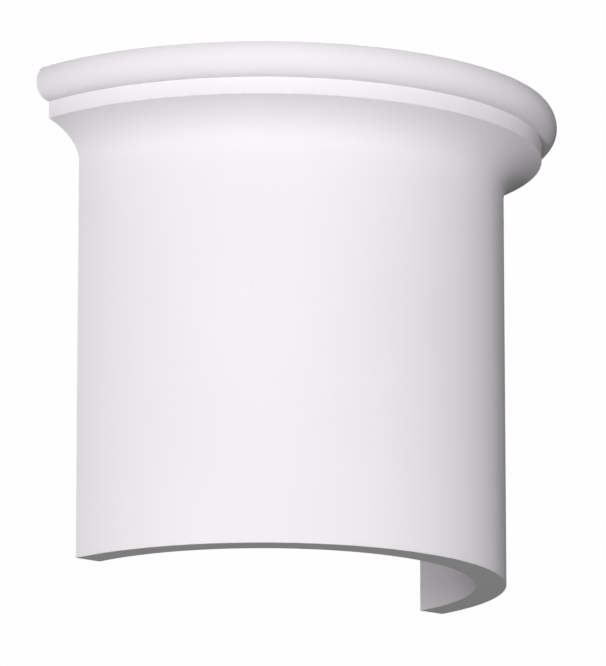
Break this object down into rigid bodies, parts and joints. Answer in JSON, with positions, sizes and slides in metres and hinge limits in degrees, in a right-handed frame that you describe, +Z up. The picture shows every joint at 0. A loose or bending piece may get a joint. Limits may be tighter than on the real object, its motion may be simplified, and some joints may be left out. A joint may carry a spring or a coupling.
{
  "type": "half column segment",
  "caption": "Hollow half round column segment with a plain shaft, a cove, a flat fillet and a half round bead, open behind and at both ends.",
  "frame": {"origin": "middle of the underside of the bounding box; the column's axis is 91.9 mm behind it, in the plane of the back", "axes": "+Z up along the column, +Y towards the wall that the flat back rests on, +X to the right seen from the front, and the round front faces -Y"},
  "size_m": [0.3676, 0.1838, 0.3],
  "materials": {
    "primed_polyurethane": "white primer, matt, on moulded rigid polyurethane"
  },
  "bodies": {
    "root": {"half_column_segment": "primed_polyurethane"}
  },
  "joints": []
}
